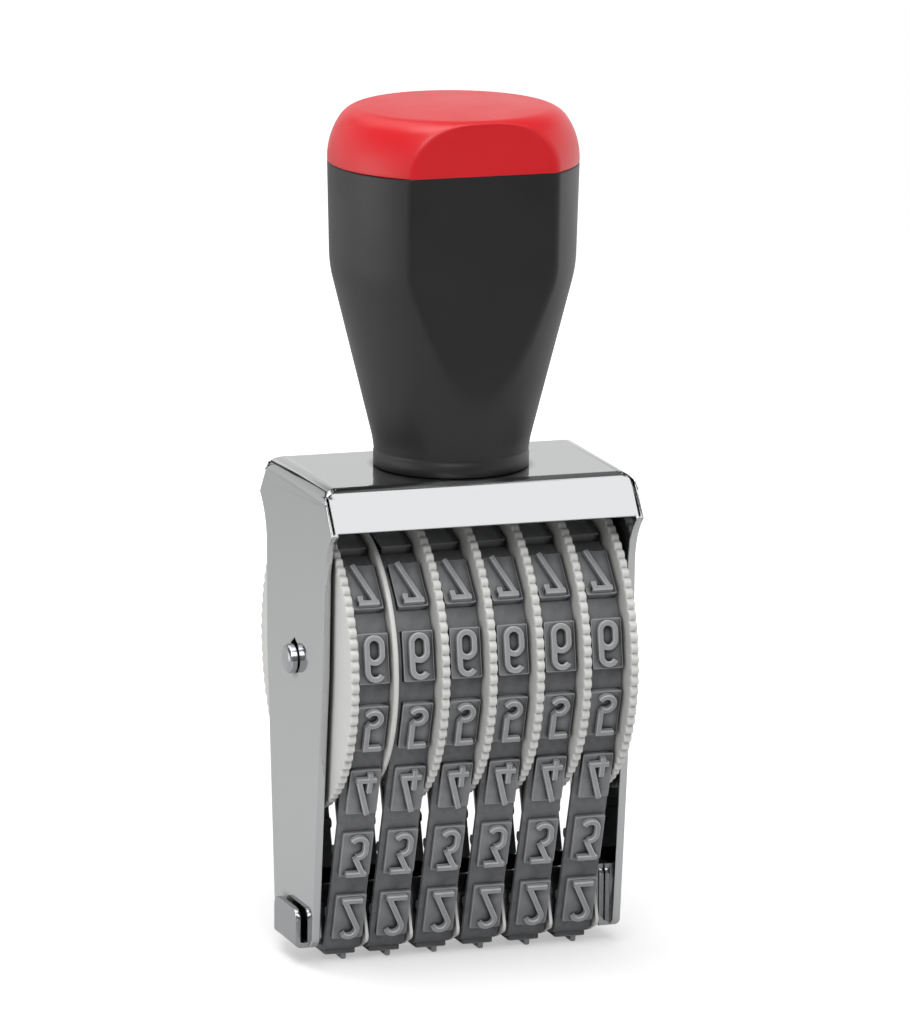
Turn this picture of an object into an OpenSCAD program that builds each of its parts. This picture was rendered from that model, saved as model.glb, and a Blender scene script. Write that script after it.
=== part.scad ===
// Band number stamp: a pressed steel frame that carries thumb wheels, endless digit bands and a handle.
// Millimetres. +Z is up, +X runs along the axle and -Y is the front.
// The origin lies on the printing plane, below the middle of the frame.

/* [Frame] */
// Thickness of the frame's sheet steel
sheet_t = 1.2; // [0.8:0.1:1.6]
// Depth of the flat top
top_d = 25.6; // [22:0.2:28]
// Depth over the shoulders, where the aprons end
shoulder_d = 35; // [33:0.2:38]
// Height from the shoulders to the top
shoulder_drop = 6.2; // [4.5:0.1:7]
// Depth of the waist below the shoulders
waist_d = 27.8; // [26:0.2:30]
// Radius of the hollow curve from shoulder to waist
waist_r = 9.5; // [8:0.1:12]
// Depth of a side plate at the axle
axle_level_d = 27; // [25:0.2:28]
// Depth of a side plate at its foot
foot_d = 18; // [15:0.2:20]
// Cut corner of a side plate's foot
foot_corner = 1; // [0.5:0.1:2]
// Radius of the bend between the top and a side plate
bend_r = 2.2; // [1.4:0.1:2.6]
// Width of the seam at the end of an apron
seam_w = 0.15; // [0.1:0.05:0.3]
// How far the seam lies inside the outer face of a side plate
seam_edge = 0.5; // [0.3:0.05:0.8]

/* [Axle] */
// Height of the axle above the printing plane
axle_z = 45.2; // [44:0.1:46]
// Radius of the axle
axle_r = 2.2; // [1.8:0.05:2.5]
// Depth of the groove that holds the axle in a side plate
axle_groove = 0.35; // [0.2:0.05:0.5]
// How far an axle end stands out of its side plate
axle_proud = 1.5; // [1:0.1:2.5]
// Chamfer of an axle end
axle_chamfer = 0.3; // [0.1:0.05:0.5]
// Height of the axle hole's pointed tip above the axle
hole_tip = 3.1; // [3:0.1:4]

/* [Wheels] */
// Radius over the thumb teeth
wheel_r = 22.3; // [20.8:0.1:25]
// Number of thumb teeth
tooth_count = 84; // [60:1:96]
// Depth of a thumb tooth
tooth_depth = 0.5; // [0.3:0.05:0.8]
// Thickness of the toothed flange
toothed_flange_t = 1.2; // [0.9:0.1:1.5]
// Thickness of the first wheel's smooth flange
smooth_flange_t = 0.8; // [0.5:0.1:1.4]
// Radius of the first wheel's smooth flange
smooth_flange_r = 20.4; // [20.1:0.1:21.6]
// Radius of a wheel's hub
hub_r = 4.6; // [3.8:0.1:6]
// Thickness of the drum's rim below its pockets
rim_t = 1.4; // [1:0.1:2]
// Gap between neighbouring wheels
wheel_gap = 0.26; // [0.1:0.02:0.4]
// Radial clearance of a wheel on the axle
axle_clear = 0.05; // [0.02:0.01:0.1]
// Thickness of the left spacer
spacer_left_t = 0.5; // [0.4:0.1:1.4]
// Thickness of the right spacer
spacer_right_t = 0.9; // [0.4:0.1:1.4]
// Radius of the spacers
spacer_r = 4.2; // [3.2:0.1:5]
// End play of the whole stack
stack_play = 0.1; // [0.05:0.05:0.2]

/* [Bands] */
// Width of a band's belt
band_w = 5.7; // [5.4:0.1:6]
// Width of a pad
pad_w = 4.7; // [4.2:0.1:4.9]
// How far the pads lie to the right of the belt's middle
pad_shift = 0.25; // [0:0.05:0.3]
// Side clearance between a band and a wheel's flanges
band_side_gap = 0.05; // [0.05:0.05:0.2]
// Thickness of the belt
belt_t = 0.85; // [0.7:0.05:1]
// Radius of the belt's inner face on the drum
belt_inner_r = 17.4; // [16.9:0.1:17.6]
// Height of a pad above the belt
pad_t = 0.9; // [0.7:0.05:1.1]
// Length of a pad along the band
pad_len = 7.4; // [7:0.1:8]
// Height of a digit above its pad
digit_relief = 0.85; // [0.7:0.05:1]
// Height of a digit
digit_h = 6.9; // [6:0.1:7.2]
// Width of a digit
digit_w = 3.1; // [2.9:0.1:4]
// Width of a digit's strokes
stroke_w = 0.8; // [0.6:0.05:0.95]
// Radius of a cog on the belt's inner face
cog_r = 0.8; // [0.6:0.05:0.85]
// Clearance round a cog in its pocket
cog_clear = 0.15; // [0.1:0.05:0.25]
// Clearance between the drum and the belt
drum_clear = 0.05; // [0.03:0.01:0.1]
// Angle above the front horizontal of the pocket that holds the sixth pad's cog
pocket_angle = 10.8; // [8:0.1:14]

/* [Bridge] */
// Thickness of the bridge's sheet steel
bridge_t = 0.8; // [0.6:0.1:1]
// Depth over the bridge's channel
bridge_d = 10; // [9:0.1:10.4]
// Radius of the channel's outer bends
bridge_bend_r = 1.3; // [1.1:0.1:1.8]
// Height of the channel's walls
bridge_wall_h = 9.4; // [8:0.1:11]
// Depth of the lugs and ears
lug_d = 10.6; // [9.6:0.2:12]
// Height of a lug above the foot of its side plate
lug_h = 5; // [4:0.1:6]
// Radius of the upper corners of a lug and an ear
lug_top_r = 1.6; // [1:0.1:2.4]
// Gap between a lug and its side plate
lug_gap = 0.5; // [0.3:0.1:0.8]
// Clearance between an ear and its side plate
ear_clear = 0.05; // [0.03:0.01:0.1]
// Thickness of a band guide
guide_t = 0.5; // [0.4:0.05:0.7]
// Depth over a band guide
guide_d = 14.8; // [13.8:0.2:15.6]
// Radius of a band guide's nose
guide_nose_r = 1.2; // [0.8:0.1:1.5]
// Height of the middle of a band guide's nose above the printing plane
guide_nose_z = 4.2; // [4:0.1:5]
// Thickness of a band guide's strip under the channel
guide_strip_t = 0.8; // [0.6:0.1:1]
// Height of a band guide's tips above the printing plane
guide_tip_z = 9.6; // [9:0.1:11]
// Clearance between a band guide and the channel
guide_clear = 0.05; // [0.03:0.01:0.1]
// Gap between a band guide and the band to its left
guide_gap = 0.15; // [0.1:0.05:0.4]
// Clearance round a cog in its slot in the bridge
slot_clear = 0.35; // [0.2:0.05:0.5]

/* [Handle] */
// Radius of the handle's neck
neck_r = 11.35; // [10.5:0.05:12]
// Height of the ring at the foot of the neck
neck_ring_h = 2.2; // [1.5:0.1:3]
// How far the ring stands out of the neck
neck_ring_out = 0.12; // [0.1:0.01:0.3]
// Height of the neck above the frame
neck_h = 3.1; // [3:0.1:6]
// Height of the handle's shoulder above the frame
grip_h = 29.8; // [26:0.1:32]
// Radius of the handle at its shoulder
grip_r = 18.05; // [17:0.05:18.2]
// Height of the handle's body above the frame
body_h = 45.2; // [43:0.1:48]
// Radius of the handle at the seam with its cap
seam_r = 18.45; // [18.3:0.05:19]
// Distance of a facet from the handle's axis at the seam
facet_y = 14.6; // [14.2:0.1:15]
// Lean of a facet from the vertical
facet_lean = 2; // [1:0.1:2.5]
// Height of the cap above its seam
cap_h = 8.6; // [8:0.1:9.6]
// Radius of the cap's side curve
cap_side_r = 10.3; // [8.5:0.1:11]
// Radius of the cap's top edge
cap_edge_r = 4; // [3:0.1:5]
// Height of the cap's upright side
cap_side_h = 0.6; // [0.3:0.1:1]
// Rise of the cap's slightly domed top
cap_dome = 0.5; // [0.3:0.1:0.8]
// Wall thickness of the handle and of the cap
wall_t = 2.2; // [1.8:0.1:2.8]
// Depth of the cap's spigot in the handle
spigot_h = 4; // [3:0.1:5]
// Radial clearance of the spigot in the handle
spigot_clear = 0.08; // [0.05:0.01:0.15]
// Height of the handle's solid foot
handle_foot_h = 14; // [13:0.1:18]

/* [Handle screw] */
// Gap between the wheels and the screw's head
head_gap = 1.2; // [0.8:0.1:2]
// Radius of the screw's shank
screw_r = 2; // [1.8:0.1:2.2]
// Length of the screw's shank
screw_len = 11; // [9:0.1:12]
// Radius of the screw's head
screw_head_r = 3.9; // [3.5:0.1:4.2]
// Height of the screw's head
screw_head_h = 2.3; // [2:0.1:2.5]
// Thickness of the washer
washer_t = 0.8; // [0.6:0.1:1]
// Radius of the washer
washer_r = 4.9; // [4.5:0.1:5.5]
// Radial clearance round the screw in the frame and the washer
screw_clear = 0.2; // [0.1:0.05:0.3]
// Radial clearance of the screw in the insert
thread_clear = 0.05; // [0.02:0.01:0.1]
// Radius of the threaded insert
insert_r = 3.3; // [3:0.1:3.8]
// Length of the threaded insert
insert_len = 10; // [8:0.1:11]
// Depth of the insert below the handle's foot
insert_sunk = 0.2; // [0.1:0.05:0.5]
// Width of the cross slots in the screw's head
slot_w = 0.9; // [0.7:0.1:1.1]

/* [Hidden] */
$fn = 96;
far = 200; // longer than the whole stamp, for cutting shapes
past = 1; // how far a cut runs on past the face it opens
hair = 0.01; // small enough not to be seen
wheel_count = 6;

// Directions in the Y-Z plane, as angles
REAR = 0;
UP = 90;
FRONT = 180;
DOWN = 270;
FULL = 360;

// Colours
CHROME = "#c9cbcd";
STEEL = "#b9bcc0";
WHITE = "#f1f1ee";
RUBBER = "#606163";
BLACK = "#2b2c2e";
RED = "#dc2b31";
BRASS = "#c8a24a";

// Layers of a band, from the belt's inner face outwards
pad_top = belt_t + pad_t;
face_top = pad_top + digit_relief;
pad_sunk = 0.3; // depth of a pad's root in the belt, so that its flat underside meets the curved belt
digit_sunk = 0.2; // depth of a digit's root in its pad

// Wheel stack, from left to right
drum_w = band_w + 2 * band_side_gap;
wheel_w = toothed_flange_t + drum_w;
first_wheel_w = wheel_w + smooth_flange_t;
wheel_pitch = wheel_w + wheel_gap;
stack_w = first_wheel_w + (wheel_count - 1) * wheel_pitch;

// Frame: the side plates stand either side of the stack, and its top clears the wheels and the screw
inner_x = (spacer_left_t + stack_w + spacer_right_t + stack_play) / 2;
frame_w = 2 * (inner_x + sheet_t);
seam_x = frame_w / 2 - seam_edge;
frame_top_z = axle_z + wheel_r + head_gap + screw_head_h + washer_t + sheet_t;
bridge_z = face_top;
foot_z = bridge_z + bridge_t;
shoulder_z = frame_top_z - shoulder_drop;
waist_z = shoulder_z - sqrt(pow(waist_r, 2) - pow(waist_r - (shoulder_d - waist_d) / 2, 2));
apron_end = 0.35; // how far an apron's lower edge stops above the tip of the shoulder
axle_seat_clear = 0.1; // round the axle in its hole, and beside the plate in the axle's groove

stack_x = -inner_x + spacer_left_t + stack_play / 2;
drum_r = belt_inner_r - drum_clear;
pocket_r = cog_r + cog_clear;
function wheel_x(k) = k == 1 ? stack_x : stack_x + first_wheel_w + wheel_gap + (k - 2) * wheel_pitch;
// the first wheel is turned round, so that its toothed flange faces the left side plate
function band_x(k) = wheel_x(k) + (k == 1 ? toothed_flange_t : 0) + drum_w / 2;

// Path of the belt's inner face: bridge bottom, bridge bend, straight run, drum
bend_y = bridge_d / 2 - bridge_bend_r;
bend_z = bridge_z + bridge_bend_r;
run_l = norm([bend_y, axle_z - bend_z]);
run_len = sqrt(pow(run_l, 2) - pow(belt_inner_r - bridge_bend_r, 2));
// direction of the outward normal of the front run, in the Y-Z plane
run_normal = FULL + atan2(bend_z - axle_z, -bend_y) - acos((belt_inner_r - bridge_bend_r) / run_l);
function polar(r, a) = [r * cos(a), r * sin(a)];
bend_start = [-bend_y, bend_z] + polar(bridge_bend_r, run_normal);
drum_start = [0, axle_z] + polar(belt_inner_r, run_normal);

// Pads along the belt: lengths run along the middle of its thickness
neutral = belt_t / 2;
pocket_count = 11;
pad_count = 15;
digit_count = 10;
front_digits = 7; // 1 to 7 run up the front from the printing plane, and the rest come before 1 at the rear
pocket_step = FULL / pocket_count;
function arc_len(r, a) = r * a * PI / 180;
function arc_angle(r, s) = s * 180 / PI / r;
s_bend = bend_y;
s_run = s_bend + arc_len(bridge_bend_r + neutral, DOWN - run_normal);
s_drum = s_run + run_len;
s_total = 2 * (s_drum + arc_len(belt_inner_r + neutral, run_normal - UP));
drum_pitch = arc_len(belt_inner_r + neutral, pocket_step);
first_pocket_pad = 4;
last_pocket_pad = 11;
s_sixth = s_drum + arc_len(belt_inner_r + neutral, run_normal - FRONT + pocket_angle);
s_first = s_sixth - drum_pitch;
s_last = s_first + (last_pocket_pad - first_pocket_pad) * drum_pitch;
// pads in pockets keep the drum's pitch, and those off the drum share the rest of the belt evenly
function pad_s(i) =
    i <= first_pocket_pad ? i * s_first / first_pocket_pad
    : i <= last_pocket_pad ? s_first + (i - first_pocket_pad) * drum_pitch
    : s_last + (i - last_pocket_pad) * (s_total - s_last) / (pad_count - last_pocket_pad);
// [y, z, direction of the outward normal] at a length along the front half of the belt
function front_place(s) =
    s <= s_bend ? [-s, bridge_z, DOWN]
    : s < s_run ? let (a = DOWN - arc_angle(bridge_bend_r + neutral, s - s_bend))
        [-bend_y + bridge_bend_r * cos(a), bend_z + bridge_bend_r * sin(a), a]
    : s < s_drum ? let (p = bend_start + (drum_start - bend_start) * (s - s_run) / run_len)
        [p[0], p[1], run_normal]
    : let (a = run_normal - arc_angle(belt_inner_r + neutral, s - s_drum))
        [belt_inner_r * cos(a), axle_z + belt_inner_r * sin(a), a];
function belt_place(s) =
    s <= s_total / 2 ? front_place(s)
    : let (p = front_place(s_total - s)) [-p[0], p[1], FULL + FRONT - p[2]];

// Bridge
bridge_top_z = bridge_z + bridge_wall_h;
ear_x = inner_x - ear_clear;
lug_x = frame_w / 2 + lug_gap;
index_slot_w = band_w + 2 * slot_clear;
index_slot_d = 2 * (cog_r + slot_clear);

// Handle
seam_z = frame_top_z + body_h;

// ---- helpers ----

// a flat shape drawn in (Y, Z), made into a slab along X
module slab(x0, x1) {
    translate([x0, 0, 0]) rotate([90, 0, 90]) linear_extrude(x1 - x0) children();
}

// a cylinder along X
module rod(r, x0, x1, y = 0, z = axle_z) {
    translate([x0, y, z]) rotate([0, 90, 0]) cylinder(r = r, h = x1 - x0);
}

// what lies between two directions from the origin, less than 180 degrees apart
module wedge(a0, a1) {
    polygon([[0, 0], polar(far, a0), polar(2 * far, (a0 + a1) / 2), polar(far, a1)]);
}

module ring_sector(r0, r1, a0, a1) {
    intersection() {
        difference() {
            circle(r1);
            circle(r0);
        }
        wedge(a0, a1);
    }
}

// ---- frame ----

module side_outline() {
    // the slope runs on past the shoulder, into the circle that makes the hollow
    past_y = shoulder_d / 2 + past;
    past_z = shoulder_z - past * shoulder_drop / (shoulder_d / 2 - top_d / 2);
    // where the cut corner meets the side plate's slanting edge
    corner_y = foot_d / 2 + foot_corner * (axle_level_d - foot_d) / 2 / (axle_z - foot_z);
    difference() {
        polygon([
            [-top_d / 2, frame_top_z], [top_d / 2, frame_top_z],
            [past_y, past_z], [past_y, waist_z], [waist_d / 2, waist_z],
            [axle_level_d / 2, axle_z], [corner_y, foot_z + foot_corner],
            [foot_d / 2 - foot_corner, foot_z], [foot_corner - foot_d / 2, foot_z],
            [-corner_y, foot_z + foot_corner], [-axle_level_d / 2, axle_z],
            [-waist_d / 2, waist_z], [-past_y, waist_z], [-past_y, past_z]
        ]);
        for (side = [-1, 1]) translate([side * (waist_d / 2 + waist_r), waist_z]) circle(waist_r);
    }
}

// the front view of the housing, with its two bends
module front_outline() {
    half = frame_w / 2;
    translate([-half, 0]) square([frame_w, frame_top_z - bend_r]);
    translate([bend_r - half, 0]) square([frame_w - 2 * bend_r, frame_top_z]);
    for (side = [-1, 1]) translate([side * (half - bend_r), frame_top_z - bend_r]) circle(bend_r);
}

// the space between the side plates: under the top and the aprons, and open below the aprons
module inner_outline() {
    slope = atan2(shoulder_drop, (shoulder_d - top_d) / 2);
    inset = sheet_t * tan(slope / 2);
    end_z = shoulder_z + apron_end;
    end_y = shoulder_d / 2 - apron_end / tan(slope) - sheet_t / sin(slope);
    top_z = frame_top_z - sheet_t;
    polygon([
        [-top_d / 2 + inset, top_z], [top_d / 2 - inset, top_z],
        [end_y, end_z], [far, end_z], [far, -far], [-far, -far], [-far, end_z], [-end_y, end_z]
    ]);
}

// pear-shaped hole: the axle's groove sits on its bottom, and its point gives room to drop the axle in
module axle_hole_outline() {
    hole_r = axle_r + axle_seat_clear;
    lift = hole_r - (axle_r - axle_groove);
    tip = hole_tip - lift;
    slant = 40; // angle from the upright to where the tip's sides leave the round
    inside = hole_r - axle_seat_clear;
    translate([0, axle_z + lift]) {
        circle(hole_r);
        polygon([[0, 0], polar(inside, UP - slant), [0, tip], polar(inside, UP + slant)]);
    }
}

module frame() {
    color(CHROME) difference() {
        intersection() {
            slab(-frame_w / 2, frame_w / 2) side_outline();
            translate([0, far / 2, 0]) rotate([90, 0, 0]) linear_extrude(far) front_outline();
        }
        slab(-inner_x, inner_x) inner_outline();
        // the aprons are bent down from the top, lap the side plates' edges and end short of the corners
        for (side = [0, 1]) mirror([side, 0, 0]) slab(seam_x - seam_w, seam_x) difference() {
            translate([-far, 0]) square([2 * far, frame_top_z - sheet_t]);
            inner_outline();
        }
        slab(-far, far) axle_hole_outline();
        cylinder(r = screw_r + screw_clear, h = far);
    }
}

// ---- bridge ----

// the channel's outline, with its outer face moved out by grow
module channel_outline(grow = 0) {
    half = bridge_d / 2 + grow;
    r = bridge_bend_r + grow;
    low = bridge_z - grow;
    translate([-half, low + r]) square([2 * half, bridge_top_z - low - r]);
    translate([-half + r, low]) square([2 * (half - r), 2 * r]);
    for (side = [-1, 1]) translate([side * (half - r), low + r]) circle(r);
}

module channel_section() {
    difference() {
        channel_outline();
        intersection() {
            channel_outline(-bridge_t);
            translate([-far, 0]) square([2 * far, bridge_top_z]);
        }
        translate([-bridge_d / 2 + bridge_t, bend_z]) square([bridge_d - 2 * bridge_t, far]);
    }
}

// a plate with rounded upper corners, drawn in (Y, Z)
module tab_outline(d, z0, z1, r) {
    translate([-d / 2, z0]) square([d, z1 - z0 - r]);
    translate([r - d / 2, z0]) square([d - 2 * r, z1 - z0]);
    for (side = [-1, 1]) translate([side * (d / 2 - r), z1 - r]) circle(r);
}

// one end of the bridge: the ear inside the side plate, the strip under it and the lug outside it
module bridge_end() {
    fold_r = bridge_t;
    lug_out = lug_x + bridge_t;
    slab(ear_x - bridge_t, ear_x) tab_outline(lug_d, bridge_z, bridge_top_z, lug_top_r);
    slab(ear_x - bridge_t, lug_out - fold_r) translate([-lug_d / 2, bridge_z]) square([lug_d, bridge_t]);
    slab(lug_x, lug_out) tab_outline(lug_d, bridge_z + fold_r, foot_z + lug_h, lug_top_r);
    translate([lug_out - fold_r, lug_d / 2, bridge_z + fold_r]) rotate([90, 0, 0]) intersection() {
        cylinder(r = fold_r, h = lug_d);
        translate([0, -fold_r, 0]) cube([fold_r, fold_r, lug_d]);
    }
}

module bridge() {
    color(STEEL) difference() {
        union() {
            slab(-ear_x, ear_x) channel_section();
            bridge_end();
            mirror([1, 0, 0]) bridge_end();
        }
        for (k = [1:wheel_count]) translate([band_x(k), 0, bridge_z])
            cube([index_slot_w, index_slot_d, 4 * bridge_t], center = true);
    }
}

// a thin plate round the channel: a strip below, a round nose each side and a tip that runs up the wall
module guide_outline() {
    tip_w = guide_t / 2;
    wall_y = bridge_d / 2 + guide_clear;
    nose = [guide_d / 2 - guide_nose_r, guide_nose_z];
    strip_z = bridge_z - guide_clear - guide_strip_t;
    lean = 20; // how far the directions to the nose's ends turn from the level and the upright
    difference() {
        union() for (side = [0, 1]) mirror([side, 0]) {
            translate(nose) circle(guide_nose_r);
            polygon([
                [-hair, strip_z], [bend_y, strip_z], nose + polar(guide_nose_r - hair, lean - UP),
                nose + polar(guide_nose_r - hair, lean), [wall_y + tip_w, guide_tip_z],
                [wall_y - hair, guide_tip_z], [-hair, bend_z]
            ]);
        }
        channel_outline(guide_clear);
        translate([-wall_y, bend_z]) square([2 * wall_y, far]);
    }
}

module band_guides() {
    color(WHITE) for (k = [1:wheel_count]) {
        x = band_x(k) + band_w / 2 + guide_gap;
        slab(x, x + guide_t) guide_outline();
    }
}

// ---- axle and spacers ----

module axle() {
    end_x = frame_w / 2 + axle_proud;
    groove_x = inner_x - axle_seat_clear;
    color(STEEL) difference() {
        union() {
            rod(axle_r, -end_x + axle_chamfer, end_x - axle_chamfer);
            for (side = [0, 1]) mirror([side, 0, 0]) translate([end_x - axle_chamfer, 0, axle_z])
                rotate([0, 90, 0]) cylinder(r1 = axle_r, r2 = axle_r - axle_chamfer, h = axle_chamfer);
        }
        for (side = [0, 1]) mirror([side, 0, 0]) difference() {
            rod(2 * axle_r, groove_x, frame_w / 2 + axle_seat_clear);
            rod(axle_r - axle_groove, groove_x - past, frame_w / 2 + past);
        }
    }
}

module spacer(x0, x1) {
    color(STEEL) difference() {
        rod(spacer_r, x0, x1);
        rod(axle_r + axle_clear, x0 - past, x1 + past);
    }
}

module spacer_left() spacer(-inner_x, -inner_x + spacer_left_t);
module spacer_right() spacer(inner_x - spacer_right_t, inner_x);

// ---- wheels ----

// rounded thumb teeth: the radius swings between the tooth tips and roots
module toothed_outline() {
    steps = 4; // corners for each tooth
    polygon([for (i = [0:steps * tooth_count - 1])
        let (a = i * FULL / (steps * tooth_count))
        polar(wheel_r - tooth_depth * (1 - cos(tooth_count * a)) / 2, a)]);
}

// a wheel with its toothed flange on the left, from x = 0 on, and with or without a smooth flange
module wheel_shape(flange_t = 0) {
    rim_r = drum_r - pocket_r - rim_t;
    end = wheel_w + flange_t;
    difference() {
        union() {
            translate([0, 0, axle_z]) rotate([90, 0, 90]) linear_extrude(toothed_flange_t) toothed_outline();
            rod(drum_r, 0, end);
            if (flange_t > 0) rod(smooth_flange_r, wheel_w, end);
        }
        difference() {
            rod(rim_r, toothed_flange_t, end + past);
            rod(hub_r, 0, end);
        }
        rod(axle_r + axle_clear, -past, end + past);
        for (i = [0:pocket_count - 1]) {
            p = polar(belt_inner_r, FRONT - pocket_angle + i * pocket_step);
            rod(pocket_r, toothed_flange_t, flange_t > 0 ? wheel_w : end + past, p[0], axle_z + p[1]);
        }
    }
}

// the first wheel is turned round and has the only smooth flange, which keeps the second band off it
module wheel(k) {
    color(WHITE) translate([wheel_x(k), 0, 0])
        if (k == 1) wheel_shape(smooth_flange_t);
        else translate([wheel_w, 0, 0]) mirror([1, 0, 0]) wheel_shape();
}

module wheel_1() wheel(1);
module wheel_2() wheel(2);
module wheel_3() wheel(3);
module wheel_4() wheel(4);
module wheel_5() wheel(5);
module wheel_6() wheel(6);

// ---- digits, drawn upright about their middle ----

// a straight stroke between two points
module bar(p, q) {
    d = q - p;
    translate(p) rotate(atan2(d[1], d[0])) translate([0, -stroke_w / 2]) square([norm(d), stroke_w]);
}

// a curved stroke about a centre, turning from direction a0 to a1
module bow(c, r, a0, a1) {
    half = stroke_w / 2;
    translate(c) for (part = [0:1])
        ring_sector(r - half, r + half, a0 + part * (a1 - a0) / 2, a0 + (part + 1) * (a1 - a0) / 2);
}

// a closed upright oval, a across to each side and from low to high
module oval(a, low, high) {
    for (side = [-1, 1]) bar([side * a, low + a], [side * a, high - a]);
    bow([0, high - a], a, REAR, FRONT);
    bow([0, low + a], a, FRONT, FULL);
}

// the middles of the outermost strokes stand at (-a, a) across and (-b, b) up, and h is half a stroke
module digit(n) {
    a = (digit_w - stroke_w) / 2;
    b = (digit_h - stroke_w) / 2;
    h = stroke_w / 2;
    lean = 30; // a curved end's direction from the level
    cut = FRONT - lean;
    if (n == 0) oval(a, -b, b);
    if (n == 1) {
        bar([a / 2, -b - h], [a / 2, b + h]);
        bar([-a / 2, b - a], [a / 2, b]);
    }
    if (n == 2) {
        bow([0, b - a], a, -lean, cut);
        bar([0, b - a] + polar(a, -lean) + polar(h, UP - lean), [-a, -b]);
        bar([-a - h, -b], [a + h, -b]);
    }
    if (n == 3) {
        knee = h / 2;
        bar([-a, b], [a + h, b]);
        bar([a, b + h / 2], [-h, knee]);
        bow([0, knee - a], a, REAR, UP + lean / 2);
        bar([a, knee - a], [a, a - b]);
        bow([0, a - b], a, -cut, REAR);
    }
    if (n == 4) {
        bar([a / 2, b + h], [-a, 2 * h - b]);
        bar([-a - h, 2 * h - b], [a + h, 2 * h - b]);
        bar([a / 2, -b - h], [a / 2, -h / 2]);
    }
    if (n == 5) {
        bar([-a + h, b], [a + h, b]);
        bar([-a + h, b + h], [-a + h, 2 * a - b]);
        bow([0, a - b], a, -cut, cut - lean / 2);
    }
    if (n == 6) six();
    if (n == 7) {
        bar([-a - h, b], [a + h, b]);
        bar([-a, b], [-a, b - a]);
        bar([a, b], [-a, -b - h]);
    }
    if (n == 8) {
        // the two ovals lap by half a stroke at the waist
        oval(a, -b, h);
        oval(a - h / 3, h / 2, b);
    }
    if (n == 9) rotate(FRONT) six();
}

// an oval below, the stem that rises from its left side, and the hook at the top
module six() {
    a = (digit_w - stroke_w) / 2;
    b = (digit_h - stroke_w) / 2;
    oval_top = a / 2;
    oval(a, -b, oval_top);
    bar([-a, oval_top - a], [-a, b - a]);
    bow([0, b - a], a, UP / 3, FRONT);
}

// ---- bands ----

// half of the belt in (Y, Z): bridge bottom, bend, straight run and drum, up to the top
module belt_half() {
    translate([-bend_y, bridge_z - belt_t]) square([bend_y, belt_t]);
    translate([-bend_y, bend_z]) ring_sector(bridge_bend_r, bridge_bend_r + belt_t, run_normal, DOWN);
    // a hair thinner than the arcs and a lap longer, so that its ends lie inside them
    lap = 10 * hair;
    translate([-bend_y, bend_z]) rotate(run_normal) translate([bridge_bend_r + hair, -run_len - lap])
        square([belt_t - 2 * hair, run_len + 2 * lap]);
    translate([0, axle_z]) ring_sector(belt_inner_r, belt_inner_r + belt_t, UP, run_normal);
}

// what stands on the belt at one place: the pad outside and the cog inside
module station(s) {
    p = belt_place(s);
    translate([0, p[0], p[1]]) rotate([p[2] - UP, 0, 0]) {
        translate([-band_w / 2, 0, 0]) rotate([0, 90, 0]) cylinder(r = cog_r, h = band_w);
        translate([pad_shift, 0, 0]) {
            translate([-pad_w / 2, -pad_len / 2, belt_t - pad_sunk]) cube([pad_w, pad_len, pad_t + pad_sunk]);
            translate([0, 0, pad_top - digit_sunk]) linear_extrude(digit_relief + digit_sunk) children();
        }
    }
}

module band(k) {
    color(RUBBER) translate([band_x(k), 0, 0]) {
        for (side = [0, 1]) mirror([0, side, 0]) slab(-band_w / 2, band_w / 2) belt_half();
        for (i = [0:pad_count - 1]) station(pad_s(i))
            if (i < front_digits) mirror([0, 1]) digit(i + 1);
            else if (i >= pad_count - digit_count + front_digits)
                mirror([0, 1]) digit((i + digit_count + 1 - pad_count) % digit_count);
    }
}

module band_1() band(1);
module band_2() band(2);
module band_3() band(3);
module band_4() band(4);
module band_5() band(5);
module band_6() band(6);

// ---- handle ----

// keeps what lies between the two leaning facets, each moved in by inset
module between_facets(inset = 0) {
    difference() {
        children();
        for (side = [0, 1]) mirror([0, side, 0])
            translate([-far / 2, -facet_y + inset, seam_z]) rotate([facet_lean, 0, 0])
                translate([0, -far, -far / 2]) cube([far, far, far]);
    }
}

module handle_body() {
    floor_r = neck_r + (grip_r - neck_r) * (handle_foot_h - neck_h) / (grip_h - neck_h) - wall_t;
    color(BLACK) difference() {
        between_facets() translate([0, 0, frame_top_z]) {
            rotate_extrude() polygon([
                [0, 0], [neck_r, 0], [neck_r, neck_h], [grip_r, grip_h], [seam_r, body_h], [0, body_h]
            ]);
            cylinder(r = neck_r + neck_ring_out, h = neck_ring_h);
        }
        between_facets(wall_t) translate([0, 0, frame_top_z]) rotate_extrude() polygon([
            [0, handle_foot_h], [floor_r, handle_foot_h], [grip_r - wall_t, grip_h],
            [seam_r - wall_t, body_h], [seam_r - wall_t, body_h + past], [0, body_h + past]
        ]);
        translate([0, 0, frame_top_z - past]) cylinder(r = insert_r, h = past + insert_sunk + insert_len);
    }
}

// the cap's turned outline: upright side, wide side curve, tight top edge, slightly domed top
module cap_profile() {
    side_c = [seam_r - cap_side_r, cap_side_h];
    edge_z = cap_h - cap_dome - cap_edge_r;
    turn = asin((edge_z - cap_side_h) / (cap_side_r - cap_edge_r));
    edge_c = side_c + polar(cap_side_r - cap_edge_r, turn);
    polygon([
        [0, 0], [seam_r, 0], [seam_r, cap_side_h], side_c + polar(cap_side_r, turn), edge_c,
        [edge_c[0], cap_h - cap_dome], [0, cap_h]
    ]);
    translate(side_c) intersection() {
        circle(cap_side_r);
        wedge(0, turn);
    }
    translate(edge_c) circle(cap_edge_r);
}

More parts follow.
